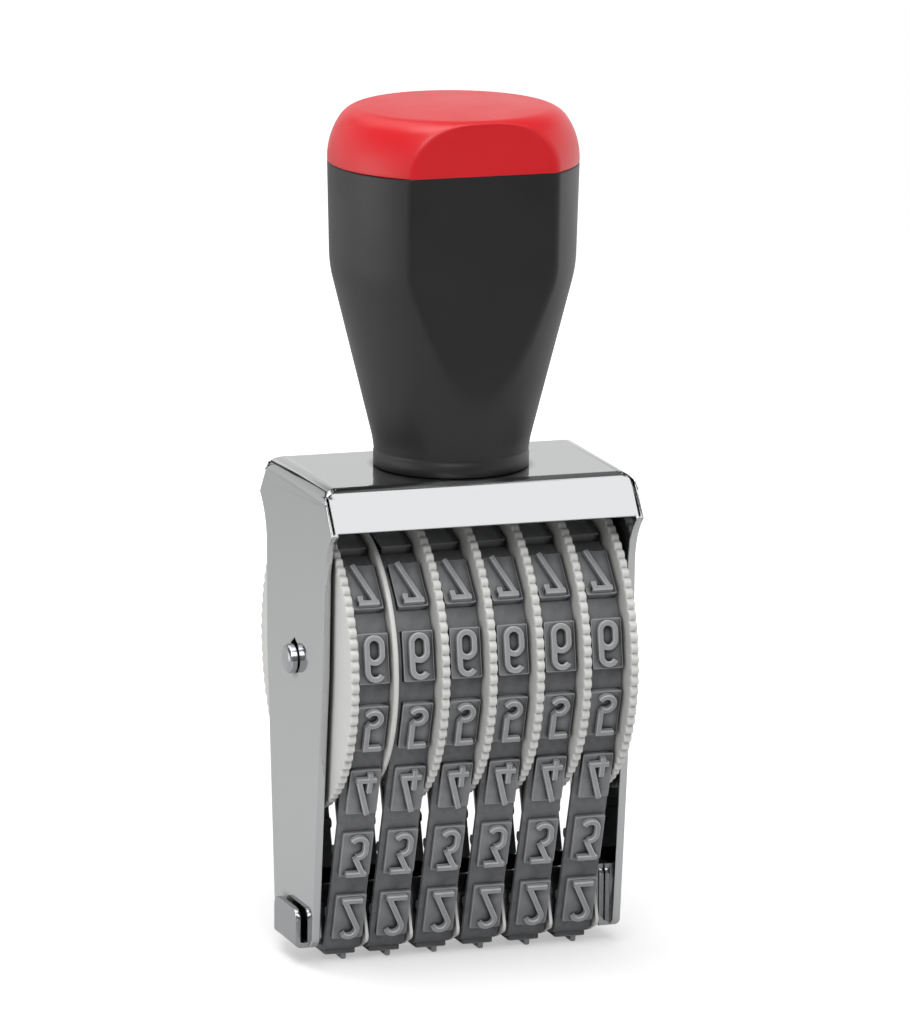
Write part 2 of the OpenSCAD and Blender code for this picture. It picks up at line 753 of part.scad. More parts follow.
module handle_cap() {
    mouth_r = seam_r - wall_t - spigot_clear;
    color(RED) difference() {
        union() {
            between_facets() translate([0, 0, seam_z]) rotate_extrude() cap_profile();
            between_facets(wall_t + spigot_clear) translate([0, 0, seam_z - spigot_h])
                cylinder(r = mouth_r - spigot_h * (seam_r - grip_r) / (body_h - grip_h), h = spigot_h + past);
        }
        between_facets(2 * wall_t) translate([0, 0, seam_z - spigot_h - past])
            cylinder(r = mouth_r - wall_t, h = spigot_h + past + cap_h / 2 - wall_t);
    }
}

module handle_insert() {
    color(BRASS) translate([0, 0, frame_top_z + insert_sunk]) difference() {
        cylinder(r = insert_r, h = insert_len);
        translate([0, 0, -past]) cylinder(r = screw_r + thread_clear, h = insert_len + 2 * past);
    }
}

module screw_washer() {
    color(STEEL) translate([0, 0, frame_top_z - sheet_t - washer_t]) difference() {
        cylinder(r = washer_r, h = washer_t);
        translate([0, 0, -past]) cylinder(r = screw_r + screw_clear, h = washer_t + 2 * past);
    }
}

module handle_screw() {
    seat_z = frame_top_z - sheet_t - washer_t;
    slot_l = screw_head_r + slot_w / 2;
    color(STEEL) translate([0, 0, seat_z]) difference() {
        union() {
            cylinder(r = screw_r, h = screw_len);
            translate([0, 0, -screw_head_h]) cylinder(r = screw_head_r, h = screw_head_h);
        }
        for (turn = [0, 90]) rotate(turn) translate([-slot_l / 2, -slot_w / 2, -screw_head_h - past])
            cube([slot_l, slot_w, past + screw_head_h / 2]);
    }
}

frame();
bridge();
band_guides();
axle();
spacer_left();
spacer_right();
wheel_1();
wheel_2();
wheel_3();
wheel_4();
wheel_5();
wheel_6();
band_1();
band_2();
band_3();
band_4();
band_5();
band_6();
handle_body();
handle_cap();
handle_insert();
handle_screw();
screw_washer();
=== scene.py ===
"""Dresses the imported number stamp: rounds its edges, rebuilds wheels, digit bands, axle and handle, and lights it."""

import math

import bmesh
import bpy
from bpy.props import FloatProperty, FloatVectorProperty, IntProperty, PointerProperty
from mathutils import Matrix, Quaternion, Vector


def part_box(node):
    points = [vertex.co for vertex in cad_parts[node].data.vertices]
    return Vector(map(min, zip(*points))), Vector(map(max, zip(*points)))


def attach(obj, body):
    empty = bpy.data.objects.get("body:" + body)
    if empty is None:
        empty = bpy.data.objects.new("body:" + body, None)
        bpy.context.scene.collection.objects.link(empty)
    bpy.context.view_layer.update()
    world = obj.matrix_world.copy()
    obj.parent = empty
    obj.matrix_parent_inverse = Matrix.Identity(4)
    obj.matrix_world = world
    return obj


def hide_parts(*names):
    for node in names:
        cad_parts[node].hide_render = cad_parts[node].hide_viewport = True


bl_info = {
    "name": "Number stamp",
    "version": (1, 0, 0),
    "blender": (4, 5, 0),
    "location": "View3D > Sidebar > Number Stamp",
    "description": "Builds the looks of a six-band number stamp round its CAD frame",
    "category": "Object",
}

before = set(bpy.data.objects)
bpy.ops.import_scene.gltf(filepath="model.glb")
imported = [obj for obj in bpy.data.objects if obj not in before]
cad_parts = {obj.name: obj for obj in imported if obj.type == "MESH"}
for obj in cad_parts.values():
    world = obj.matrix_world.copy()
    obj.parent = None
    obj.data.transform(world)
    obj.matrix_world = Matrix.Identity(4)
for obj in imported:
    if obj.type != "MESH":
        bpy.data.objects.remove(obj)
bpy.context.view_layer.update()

MM = 0.001
TAU = 2 * math.pi
# directions in the Y-Z plane, as angles from the rear by way of up
UP, FRONT, DOWN = math.pi / 2, math.pi, 1.5 * math.pi

WHEELS = range(1, 7)
POCKETS = 11
DRUM_CLEAR = 0.05 * MM
# pads from the printing one to the first on a drum, and pads on the drum
RUN_PADS, DRUM_PADS = 4, 8
# 1 to 7 run up the front, five bare pads follow, and 8, 9 and 0 come before the 1 at the rear
PAD_DIGITS = (1, 2, 3, 4, 5, 6, 7, None, None, None, None, None, 8, 9, 0)
# a ring in the handle's and the cap's hidden ends
INSIDE_R = 12 * MM
# material numbers of a band; the last is a lighter colour on the digits' rounded edges, a painted highlight
BELT, PAD, FACE, EDGE_HIGHLIGHT = range(4)


def linear(code):
    """Turns an sRGB hex colour such as "C8C8C8" to linear values."""
    parts = [int(code[i:i + 2], 16) / 255 for i in (0, 2, 4)]
    return [c / 12.92 if c <= 0.04045 else ((c + 0.055) / 1.055) ** 2.4 for c in parts]


def length(name, description, millimetres):
    """A size that a user may change."""
    return FloatProperty(name=name, description=description, default=millimetres * MM, min=0, unit="LENGTH",
                         subtype="DISTANCE", precision=5)


def colour(name, thing, code):
    """A colour that a user may change."""
    return FloatVectorProperty(name=name, description="Colour of the " + thing, default=linear(code),
                               subtype="COLOR", min=0, max=1)


def lamp_power(name, description, watts):
    """A lamp's power."""
    return FloatProperty(name=name, description=description, default=watts, min=0, unit="POWER")


def room_level(name, description, level):
    """How bright a part of the room is, where 1 is white."""
    return FloatProperty(name=name, description=description, default=level, min=0)


# ---- what the frame gives ----

AXLE_Z = sum(corner.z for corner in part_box("axle")) / 2
WHEEL_R = (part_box("wheel_2")[1].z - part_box("wheel_2")[0].z) / 2
FRAME_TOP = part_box("frame")[1].z
SEAM_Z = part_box("handle_body")[1].z
TOP_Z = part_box("handle_cap")[1].z


# ---- what a user may change ----

class NumberStampMetal(bpy.types.PropertyGroup):
    """Sizes and colours of the sheet-metal parts and the axle."""
    edge: length("Edge radius", "Rounding of the cut edges of the sheet steel", 0.18)
    top_d: length("Top depth", "Depth of the housing's flat top", 25.6)
    fold_r: length("Fold radius", "Outer radius of the folds between the top and the side plates", 2.2)
    apron_run: length("Apron depth", "How far an apron reaches out from the top", 4.7)
    apron_drop: length("Apron drop", "How far an apron reaches down", 6.2)
    apron_bend: length("Apron bend", "Width that the bend between the top and an apron takes from each", 1.0)
    chrome: colour("Chrome", "chromed housing", "C4C5C6")
    nickel: colour("Bridge plate", "plated bridge", "A9AAAC")
    steel: colour("Steel", "turned steel parts", "B4B5B8")
    brass: colour("Brass", "threaded insert", "C8A24A")
    groove_r: length("Groove radius", "Radius of the axle in its two grooves", 1.85)
    groove_w: length("Groove width", "Width of an axle groove", 1.4)
    dome: length("Dome", "Rounding of an axle end", 0.7)


class NumberStampWheels(bpy.types.PropertyGroup):
    """Sizes and colours of the thumb wheels."""
    teeth: IntProperty(name="Teeth", description="Number of thumb teeth", default=84, min=12)
    tooth_depth: length("Tooth depth", "Depth of a thumb tooth", 0.5)
    toothed_t: length("Toothed flange", "Thickness of the toothed flange", 1.2)
    smooth_t: length("Smooth flange", "Thickness of the first wheel's smooth flange", 0.8)
    smooth_r: length("Smooth flange radius", "Radius of the first wheel's smooth flange", 20.4)
    round_r: length("Rim rounding", "Rounding of the rims' corners", 0.28)
    hub_r: length("Hub radius", "Radius of the hub", 4.6)
    bore_r: length("Bore radius", "Radius of the bore", 2.25)
    rim_t: length("Drum wall", "Thickness of the drum below its pockets", 1.4)
    plastic: colour("Wheel plastic", "wheels", "DCDCD9")


class NumberStampBands(bpy.types.PropertyGroup):
    """Sizes and colours of the rubber bands."""
    belt_t: length("Belt thickness", "Thickness of the belt", 0.85)
    inner_r: length("Belt radius", "Radius of the belt's inner face on a wheel", 17.4)
    bend_r: length("Bend radius", "Radius of the bridge's bends", 1.3)
    bridge_d: length("Bridge depth", "Depth over the bridge", 10.0)
    bridge_z: length("Bridge height", "Height of the bridge's underside", 2.6)
    pad_w: length("Pad width", "Width of a pad", 4.7)
    pad_shift: length("Pad shift", "How far the pads lie to the right of the belt's middle", 0.25)
    pad_len: length("Pad length", "Length of a pad", 7.4)
    pad_t: length("Pad height", "Height of a pad above the belt", 0.9)
    relief: length("Digit relief", "Height of a digit above its pad", 0.85)
    digit_w: length("Digit width", "Width of a digit", 3.1)
    digit_h: length("Digit height", "Height of a digit", 6.9)
    stroke: length("Stroke", "Width of a digit's strokes", 0.8)
    edge: length("Edge rounding", "Rounding of the rubber's edges", 0.15)
    cog_r: length("Cog radius", "Radius of an inner cog", 0.8)
    cog_clear: length("Cog clearance", "Clearance round a cog in its pocket", 0.15)
    pocket_angle: FloatProperty(name="Pocket angle", description="Direction of the sixth pad's pocket above level",
                                default=math.radians(10.8), subtype="ANGLE")
    rubber: colour("Belt", "belt", "636466")
    pad: colour("Pad", "pads", "8A8B8D")
    face: colour("Digit face", "digits' faces", "9C9D9F")
    # a lighter colour on the digits' rounded edges, which paints their highlight
    edge_highlight: colour("Edge highlight", "painted highlight on the rubber's edges", "C0C1C2")


class NumberStampHandle(bpy.types.PropertyGroup):
    """Sizes and colours of the handle and its cap."""
    neck_r: length("Neck radius", "Radius of the neck", 11.35)
    ring_out: length("Neck ring", "How far the ring at the neck's foot stands out", 0.12)
    ring_h: length("Neck ring height", "Height of the ring at the neck's foot", 2.2)
    neck_h: length("Neck height", "Height of the neck", 3.1)
    grip_r: length("Shoulder radius", "Radius at the shoulder", 18.05)
    grip_h: length("Shoulder height", "Height of the shoulder above the frame", 29.8)
    seam_r: length("Seam radius", "Radius at the seam", 18.45)
    facet_y: length("Facet distance", "Distance of a facet from the axis at the seam", 14.6)
    facet_lean: FloatProperty(name="Facet lean", description="Lean of a facet from the upright",
                              default=math.radians(2), subtype="ANGLE")
    facet_soft: length("Facet softness", "Rounding where a facet meets the round", 0.4)
    taper_soft: length("Taper softness", "Half the length over which the taper turns", 1.8)
    side_r: length("Cap side radius", "Radius of the cap's side curve", 10.3)
    edge_r: length("Cap edge radius", "Radius of the cap's top edge", 4.0)
    side_h: length("Cap upright", "Height of the cap's upright side", 0.6)
    dome: length("Cap dome", "Rise of the cap's top", 0.5)
    seam: length("Seam", "Rounding of the two edges at the seam", 0.22)
    black: colour("Handle plastic", "handle", "151517")
    red: colour("Cap plastic", "cap", "DA1620")


class NumberStampStage(bpy.types.PropertyGroup):
    """The floor, the lamps and the room."""
    floor: colour("Floor", "floor", "D8D8D8")
    overhead: lamp_power("Overhead lamps", "Power of each of the two lamps that the sloping aprons mirror", 1.0)
    front: lamp_power("Front lamp", "Power of the lamp high in front", 5.2)
    key: lamp_power("Key lamp", "Power of the lamp straight above", 3.3)
    left: lamp_power("Left lamp", "Power of the small lamp low at the left", 0.16)
    front_low: room_level("Front, low", "Light from the front of the room below the horizon", 0.08)
    front_high: room_level("Front, high", "Light from the front of the room above the horizon", 0.4)
    rear: room_level("Rear", "Light from the sheets at the rear", 0.78)
    sides: room_level("Sides", "Light that the room's two sides add", 0.8)


GROUPS = {
    "number_stamp_metal": NumberStampMetal,
    "number_stamp_wheels": NumberStampWheels,
    "number_stamp_bands": NumberStampBands,
    "number_stamp_handle": NumberStampHandle,
    "number_stamp_stage": NumberStampStage,
}


# ---- materials ----

def add_node(tree, kind, inputs=None, **settings):
    """Adds a node, with its settings, its input values and its links."""
    made = tree.nodes.new(kind)
    for key, value in settings.items():
        setattr(made, key, value)
    for key, value in (inputs or {}).items():
        if isinstance(value, bpy.types.NodeSocket):
            tree.links.new(value, made.inputs[key])
        else:
            made.inputs[key].default_value = value
    return made


def surface(name, base, metallic=0.0, roughness=0.5, ior=None):
    """A material with its shader's own values set, and its tree, shader and object coordinates."""
    material = bpy.data.materials.new(name)
    material.use_nodes = True
    tree = material.node_tree
    shader = tree.nodes["Principled BSDF"]
    shader.inputs["Base Color"].default_value = (*base, 1)
    shader.inputs["Metallic"].default_value = metallic
    shader.inputs["Roughness"].default_value = roughness
    if ior:
        shader.inputs["IOR"].default_value = ior
    where = add_node(tree, "ShaderNodeTexCoord").outputs["Object"]
    return material, tree, shader, where


def grained(tree, shader, where, size, height, detail=2.0):
    """A bump from noise whose grains are size metres across and height metres deep."""
    noise = add_node(tree, "ShaderNodeTexNoise", {"Vector": where, "Scale": 1 / size, "Detail": detail})
    bump = add_node(tree, "ShaderNodeBump", {"Height": noise.outputs["Fac"], "Distance": height})
    tree.links.new(bump.outputs["Normal"], shader.inputs["Normal"])


def mottled(tree, shader, where, low, high, size):
    """A slow change of the roughness between two values, over patches size metres across."""
    noise = add_node(tree, "ShaderNodeTexNoise", {"Vector": where, "Scale": 1 / size, "Detail": 3.0})
    span = add_node(tree, "ShaderNodeMapRange", {"Value": noise.outputs["Fac"], "From Min": 0.3, "From Max": 0.7,
                                                 "To Min": low, "To Max": high})
    tree.links.new(span.outputs["Result"], shader.inputs["Roughness"])


def tinted(tree, shader, where, base, other, size, amount):
    """A slow change of colour from base towards other, over patches size metres across."""
    noise = add_node(tree, "ShaderNodeTexNoise", {"Vector": where, "Scale": 1 / size, "Detail": 4.0})
    share = add_node(tree, "ShaderNodeMapRange", {"Value": noise.outputs["Fac"], "From Min": 0.35, "From Max": 0.65,
                                                  "To Min": 0.0, "To Max": amount})
    mix = add_node(tree, "ShaderNodeMix", {"Factor": share.outputs["Result"]}, data_type="RGBA")
    mix.inputs["A"].default_value = (*base, 1)
    mix.inputs["B"].default_value = (*other, 1)
    tree.links.new(mix.outputs["Result"], shader.inputs["Base Color"])


def painted_nook_shade(tree, shader, darkest, reach, closed=0.35):
    """Paints shade into nooks: darkens the base colour by ambient occlusion, down to a share of it where the nooks are
    closed.
    """
    base = shader.inputs["Base Color"]
    plain = base.links[0].from_socket if base.links else base.default_value[:3]
    nook = add_node(tree, "ShaderNodeAmbientOcclusion", {"Distance": reach}, samples=8)
    open_share = add_node(tree, "ShaderNodeMapRange", {"Value": nook.outputs["AO"], "From Min": closed,
                                                       "From Max": 0.95, "To Min": darkest, "To Max": 1.0})
    shade = add_node(tree, "ShaderNodeVectorMath", {0: plain}, operation="SCALE")
    tree.links.new(open_share.outputs["Result"], shade.inputs["Scale"])
    tree.links.new(shade.outputs["Vector"], base)


def chromed_steel(base):
    """Bright chromium on pressed sheet steel: a mirror with the faintest waviness from pressing and a touch of haze."""
    material, tree, shader, where = surface("chromed_sheet_steel", base, metallic=1.0, roughness=0.07)
    mottled(tree, shader, where, 0.05, 0.1, 9 * MM)
    # sheet waves about 12 mm long and two microns deep
    grained(tree, shader, where, 12 * MM, 0.002 * MM, detail=1.0)
    # painted shade: the chrome's base colour darkens in its nooks and seams
    painted_nook_shade(tree, shader, 0.1, 1.2 * MM)
    return material


def plated_steel(base):
    """Nickel-plated folded strip: less bright than the chrome, with a soft mirror."""
    material, tree, shader, where = surface("plated_steel_strip", base, metallic=1.0, roughness=0.16)
    mottled(tree, shader, where, 0.12, 0.22, 4 * MM)
    return material


def turned_steel(base):
    """Turned steel bar: fine rings round the axis from the lathe tool, drawn at 0.08 mm so that they show."""
    material, tree, shader, where = surface("turned_steel", base, metallic=1.0, roughness=0.2)
    wave = add_node(tree, "ShaderNodeTexWave", {"Vector": where, "Scale": 1 / (0.08 * MM) / TAU, "Distortion": 0.4},
                    bands_direction="X")
    bump = add_node(tree, "ShaderNodeBump", {"Height": wave.outputs["Fac"], "Distance": 0.002 * MM})
    tree.links.new(bump.outputs["Normal"], shader.inputs["Normal"])
    return material


def machined_brass(base):
    """Machined brass: yellow metal with a fine machined haze."""
    material, tree, shader, where = surface("machined_brass", base, metallic=1.0, roughness=0.25)
    mottled(tree, shader, where, 0.2, 0.34, 1.5 * MM)
    return material


def moulded_acetal(name, base):
    """White acetal, injection moulded: a soft satin gloss, a faint orange peel and slightly uneven gloss."""
    material, tree, shader, where = surface(name, base, roughness=0.38, ior=1.48)
    mottled(tree, shader, where, 0.32, 0.46, 6 * MM)
    grained(tree, shader, where, 0.7 * MM, 0.004 * MM)
    # painted shade: the plastic's base colour darkens in its nooks, between the teeth and beside the bands
    painted_nook_shade(tree, shader, 0.35, 1.2 * MM)
    return material


def moulded_rubber(name, base, dust, roughness, nook_shade=0.0):
    """Grey vulcanised rubber: matt, faintly dusty, with a fine moulded grain and, when asked, painted shade in its
    corners.
    """
    material, tree, shader, where = surface(name, base, roughness=roughness, ior=1.52)
    tinted(tree, shader, where, base, dust, 1.8 * MM, 0.35)
    grained(tree, shader, where, 0.15 * MM, 0.008 * MM, detail=3.0)
    if nook_shade:
        painted_nook_shade(tree, shader, 1 - nook_shade, 1.6 * MM, closed=0.5)
    return material


def grained_abs(name, base, roughness, ior, grain, depth):
    """ABS moulded in a spark-eroded tool: satin, with a fine even grain that breaks up its highlights."""
    material, tree, shader, where = surface(name, base, roughness=roughness, ior=ior)
    grained(tree, shader, where, grain, depth)
    mottled(tree, shader, where, roughness - 0.04, roughness + 0.05, 11 * MM)
    return material


# ---- mesh building ----

class Shape:
    """Points and faces of one piece, gathered shell by shell, with a material number for each face."""

    def __init__(self):
        self.points, self.faces, self.numbers = [], [], []

    def add(self, points, faces, number=0, trim=(), trim_number=0):
        """Adds a shell, some of whose faces may be trim with a material number of their own."""
        base = len(self.points)
        self.points += points
        for group, value in ((faces, number), (trim, trim_number)):
            self.faces += [tuple(base + i for i in face) for face in group]
            self.numbers += [value] * len(group)

    def mesh(self, name, materials, sharp):
        """Makes the mesh, its faces smooth except over edges sharper than the angle."""
        mesh = bpy.data.meshes.new(name)
        mesh.from_pydata(self.points, [], self.faces)
        for material in materials:
            mesh.materials.append(material)
        mesh.polygons.foreach_set("material_index", self.numbers)
        work = bmesh.new()
        work.from_mesh(mesh)
        bmesh.ops.remove_doubles(work, verts=work.verts, dist=1e-7)
        bmesh.ops.recalc_face_normals(work, faces=work.faces)
        work.to_mesh(mesh)
        work.free()
        mesh.shade_smooth()
        mesh.set_sharp_from_angle(angle=math.radians(sharp))
        return mesh


def add_object(name, data, at=(0, 0, 0)):
    """Puts an object in the scene."""
    made = bpy.data.objects.new(name, data)
    bpy.context.scene.collection.objects.link(made)
    made.location = at
    return made


def add_piece(name, mesh, body, slot, stands_for, at=(0, 0, 0)):
    """Puts a piece in the scene on its body, standing for its CAD node."""
    piece = add_object(name, mesh, at)
    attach(piece, body)
    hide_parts(stands_for)


def quads(rows, count, rows_meet=True, ends_meet=True):
    """Faces between rows of count points each. The last row may meet the first, and a row's end its start."""
    faces = []
    for i in range(rows if rows_meet else rows - 1):
        here, there = i * count, (i + 1) % rows * count
        for k in range(count if ends_meet else count - 1):
            m = (k + 1) % count
            faces.append((here + k, there + k, there + m, here + m))
    return faces


def spun(profile, steps, place, closed=True):
    """Turns a profile of (radius, along) about an axis, where place(radius, along, angle) puts a point."""
    points = [place(r, h, TAU * i / steps) for i in range(steps) for r, h in profile]
    return points, quads(steps, len(profile), ends_meet=closed)


def about_x(r, h, angle):
    """A point about the axle."""
    return (h, r * math.cos(angle), AXLE_Z + r * math.sin(angle))


def arc(x, y, r, start, end, steps):
    """Points of an arc about a centre; the angles are in degrees."""
    angles = [math.radians(start + (end - start) * i / steps) for i in range(steps + 1)]
    return [(x + r * math.cos(angle), y + r * math.sin(angle)) for angle in angles]


def rounded_ring(inner, outer, start, end, round_r):
    """The closed profile of a ring with rounded outer corners, and points near them that keep its sides flat."""
    # the flat points lie inside the corners, and inside the teeth that a rim may have
    flat_r, corner_r = inner + 0.96 * (outer - inner) - 2 * round_r, outer - round_r
    return [(inner, start), (flat_r, start), *arc(corner_r, start + round_r, round_r, -90, 0, 4),
            *arc(corner_r, end - round_r, round_r, 0, 90, 4), (flat_r, end), (inner, end)]


def rounded_box(width, depth, corner, turns):
    """Points of a rectangle about the middle, with rounded corners."""
    points = []
    for across, up, first in ((1, 1, 0), (-1, 1, 90), (-1, -1, 180), (1, -1, 270)):
        points += arc(across * (width / 2 - corner), up * (depth / 2 - corner), corner, first, first + 90, turns)
    return points


def add_modifier(piece, name, kind, **settings):
    """Adds a modifier with its settings."""
    made = piece.modifiers.new(name, kind)
    for key, value in settings.items():
        setattr(made, key, value)


def dress(node, material, edge):
    """Gives a CAD node its material, and rounds its edges of more than 30 degrees with modifiers only."""
    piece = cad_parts[node]
    piece.data.materials.clear()
    piece.data.materials.append(material)
    add_modifier(piece, "weld", "WELD", merge_threshold=1e-6)
    add_modifier(piece, "flat", "DECIMATE", decimate_type="DISSOLVE", angle_limit=math.radians(0.5))
    add_modifier(piece, "edges", "BEVEL", width=edge, segments=3, limit_method="ANGLE",
                 angle_limit=math.radians(30), use_clamp_overlap=False, harden_normals=True)
    return piece


# ---- the path of a band ----

class BandPath:
    """Where the belt's inner face runs, by the length along the middle of the belt from the middle of the bridge."""

    def __init__(self, s):
        self.s = s
        self.bend_y = s.bridge_d / 2 - s.bend_r
        self.bend_z = s.bridge_z + s.bend_r
        span = math.hypot(self.bend_y, AXLE_Z - self.bend_z)
        self.run = math.sqrt(span ** 2 - (s.inner_r - s.bend_r) ** 2)
        self.normal = TAU + math.atan2(self.bend_z - AXLE_Z, -self.bend_y) - math.acos((s.inner_r - s.bend_r) / span)
        self.bend_mid = s.bend_r + s.belt_t / 2
        self.drum_mid = s.inner_r + s.belt_t / 2
        self.s_run = self.bend_y + self.bend_mid * (DOWN - self.normal)
        self.s_drum = self.s_run + self.run
        self.total = 2 * (self.s_drum + self.drum_mid * (self.normal - UP))

    def pads(self):
        """Lengths at the pads: those on the drum keep the pockets' pitch, and the rest share the belt evenly."""
        pitch = self.drum_mid * TAU / POCKETS
        first = self.s_drum + self.drum_mid * (self.normal - FRONT + self.s.pocket_angle) - pitch
        last = first + (DRUM_PADS - 1) * pitch
        front = [i * first / RUN_PADS for i in range(RUN_PADS)]
        back = [last + i * (self.total - last) / RUN_PADS for i in range(1, RUN_PADS)]
        return front + [first + i * pitch for i in range(DRUM_PADS)] + back

    def place(self, along):
        """(y, z, direction of the outward normal) of the inner face at a length."""
        if along > self.total / 2:
            y, z, angle = self.place(self.total - along)
            return -y, z, TAU + FRONT - angle
        if along <= self.bend_y:
            return -along, self.s.bridge_z, DOWN
        if along < self.s_run:
            angle, r, y, z = DOWN - (along - self.bend_y) / self.bend_mid, self.s.bend_r, -self.bend_y, self.bend_z
        elif along < self.s_drum:
            share = (along - self.s_run) / self.run
            angle = self.normal
            r = self.s.bend_r + (self.s.inner_r - self.s.bend_r) * share
            y, z = -self.bend_y * (1 - share), self.bend_z + (AXLE_Z - self.bend_z) * share
        else:
            angle, r, y, z = self.normal - (along - self.s_drum) / self.drum_mid, self.s.inner_r, 0.0, AXLE_Z
        return y + r * math.cos(angle), z + r * math.sin(angle), angle

    def stops(self):
        """Lengths at which the belt's outline is drawn: close together round the bends and the drum."""
        half = [self.bend_y * i / 3 for i in range(3)]
        half += [self.bend_y + (self.s_run - self.bend_y) * i / 10 for i in range(10)]
        half += [self.s_run + self.run * i / 12 for i in range(12)]
        half += [self.s_drum + (self.total / 2 - self.s_drum) * i / 40 for i in range(41)]
        return half + [self.total - stop for stop in half[-2:0:-1]]


# ---- digits ----

def bow(x, y, r, start, end):
    """A curved stroke about a centre."""
    return arc(x, y, r, start, end, 14)


def oval(a, low, high):
    """Points of a closed upright oval of half width a."""
    return bow(0, high - a, a, 0, 180) + bow(0, low + a, a, 180, 360)


def digit_strokes(number, a, b, h):
    """The middle lines of a digit's strokes as (points, closed): a and b reach the outer ones, h is half a stroke."""
    six = [(oval(a, -b, a / 2), True), ([(-a, -a / 2)] + bow(0, b - a, a, 180, 30), False)]
    top, foot = ([(-a - h, b), (a + h, b)], False), ([(-a - h, -b), (a + h, -b)], False)
    return {
        0: [(oval(a, -b, b), True)],
        1: [([(a / 2, -b - h), (a / 2, b + h)], False), ([(-a / 2, b - a), (a / 2, b)], False)],
        2: [foot, (bow(0, b - a, a, 150, -30) + [(-a, -b)], False)],
        3: [top, ([(a, b + h / 2), (-h, h / 2)], False),
            (bow(0, h / 2 - a, a, 105, 0) + bow(0, a - b, a, 0, -150), False)],
        4: [([(-a - h, 2 * h - b), (a + h, 2 * h - b)], False), ([(a / 2, b + h), (-a, 2 * h - b)], False),
            ([(a / 2, -b - h), (a / 2, -h / 2)], False)],
        5: [([(a + h, b), (h - a, b), (h - a, 2 * a - b)], False), (bow(0, a - b, a, 135, -150), False)],
        6: six,
        7: [top, ([(-a, b), (-a, b - a)], False), ([(a, b), (-a, -b - h)], False)],
        8: [(oval(a, -b, h), True), (oval(a - h / 3, h / 2, b), True)],
        9: [([(-x, -y) for x, y in points], closed) for points, closed in six],
    }[number]


def stroke_shell(points, closed, profile):
    """Sweeps a stroke's profile of (across, height) along a line, with mitred corners. Gives (x, y, height) points."""
    count, rings, longest_mitre = len(points), [], 1.6
    for i, here in enumerate(points):
        before = points[(i - 1) % count] if closed or i else None
        after = points[(i + 1) % count] if closed or i < count - 1 else None
        ways = [Vector(q) - Vector(p) for p, q in ((before, here), (here, after)) if p and q]
        ways = [way.normalized() for way in ways if way.length > 1e-9]
        middle = sum(ways, Vector((0, 0))).normalized()
        across = Vector((-middle.y, middle.x))
        reach = 1 / max(abs(middle.dot(ways[0])), 1 / longest_mitre)
        rings.append([(here[0] + across.x * o * reach, here[1] + across.y * o * reach, z) for o, z in profile])
    width = len(profile)
    faces = quads(count, width, rows_meet=closed, ends_meet=False)
    if not closed:
        faces += [tuple(range(width)), tuple(range((count - 1) * width, count * width))]
    return [point for ring in rings for point in ring], faces


def slab_rings(width, depth, levels):
    """Points, side faces and top face of a block with rounded corners, whose levels are (height, inset)."""
    corner, turns = 0.25 * MM, 3
    points = [(x, y, z) for z, inset in levels
              for x, y in rounded_box(width - 2 * inset, depth - 2 * inset, corner, turns)]
    ring = len(points) // len(levels)
    return points, quads(len(levels), ring, rows_meet=False), tuple(range(len(points) - ring, len(points)))


# ---- operators ----

